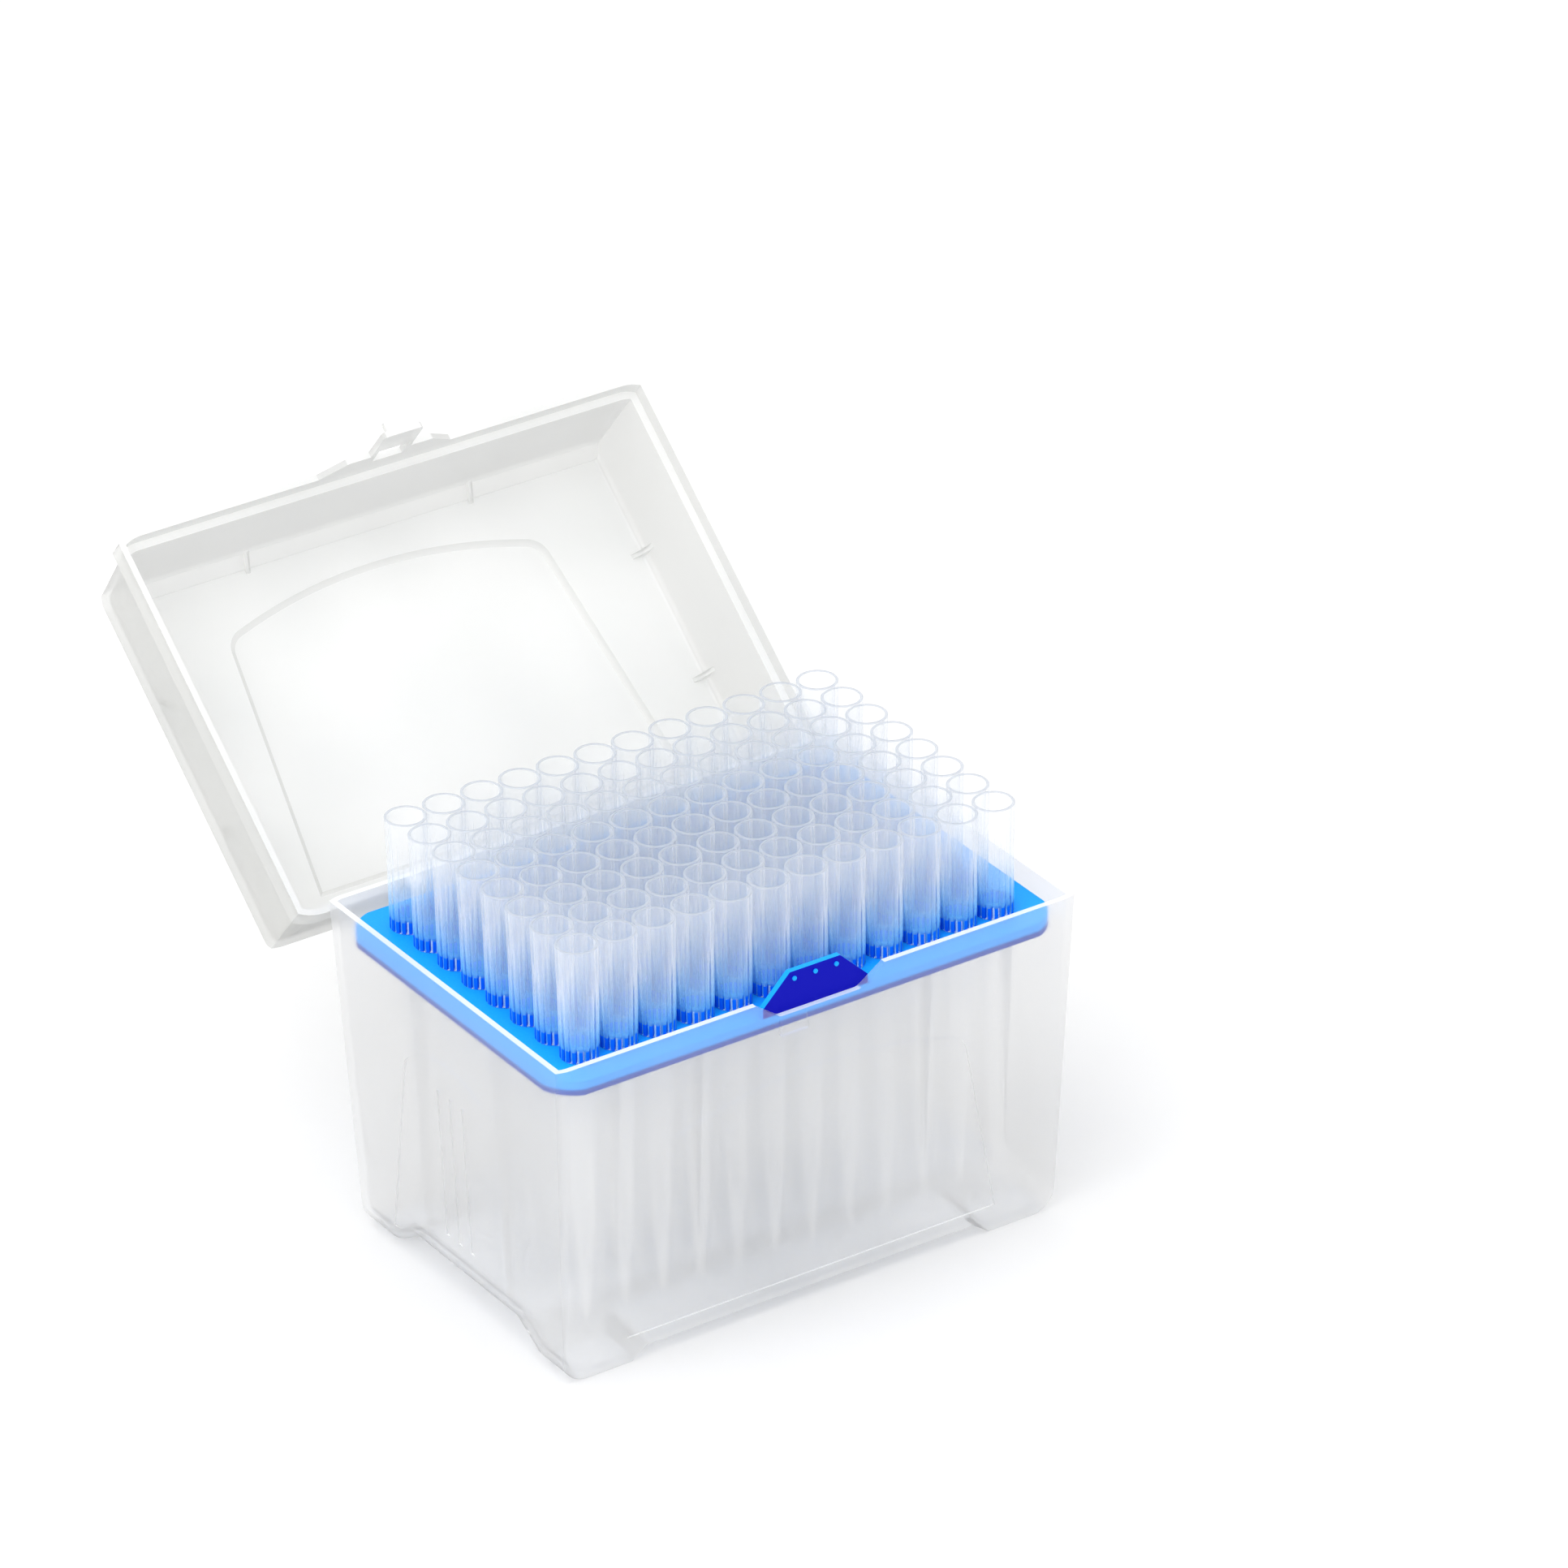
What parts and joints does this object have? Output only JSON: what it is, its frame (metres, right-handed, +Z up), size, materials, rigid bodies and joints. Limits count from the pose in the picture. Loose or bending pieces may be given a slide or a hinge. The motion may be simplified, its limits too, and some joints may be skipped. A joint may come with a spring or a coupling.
{
  "type": "pipette tip box",
  "caption": "Drafted plastic box with a hinged, latched lid standing open, and a drilled insert in which rows of tapered pipette tips hang.",
  "frame": {"origin": "middle of the box's footprint, on the surface its feet stand on", "axes": "+X along the long side, +Y from the latch to the hinge, +Z up"},
  "size_m": [0.1278, 0.174, 0.1365],
  "materials": {
    "case_frosted": "frosted natural polypropylene, milky and translucent",
    "insert_blue": "azure blue polypropylene, satin",
    "tip_clear": "clear natural polypropylene, glossy"
  },
  "bodies": {
    "box": {"base": "case_frosted", "insert": "insert_blue", "tips_01_front": "tip_clear", "tips_01_back": "tip_clear", "tips_02_front": "tip_clear", "tips_02_back": "tip_clear", "tips_03_front": "tip_clear", "tips_03_back": "tip_clear", "tips_04_front": "tip_clear", "tips_04_back": "tip_clear", "tips_05_front": "tip_clear", "tips_05_back": "tip_clear", "tips_06_front": "tip_clear", "tips_06_back": "tip_clear", "tips_07_front": "tip_clear", "tips_07_back": "tip_clear", "tips_08_front": "tip_clear", "tips_08_back": "tip_clear", "tips_09_front": "tip_clear", "tips_09_back": "tip_clear", "tips_10_front": "tip_clear", "tips_10_back": "tip_clear", "tips_11_front": "tip_clear", "tips_11_back": "tip_clear", "tips_12_front": "tip_clear", "tips_12_back": "tip_clear"},
    "lid": {"lid": "case_frosted"}
  },
  "joints": [
    {"name": "lid_hinge", "type": "hinge", "parent": "box", "child": "lid", "pos_m": [0, 0.0465, 0.0685], "axis": [1, 0, 0], "range_deg": [0, 139.6]}
  ]
}
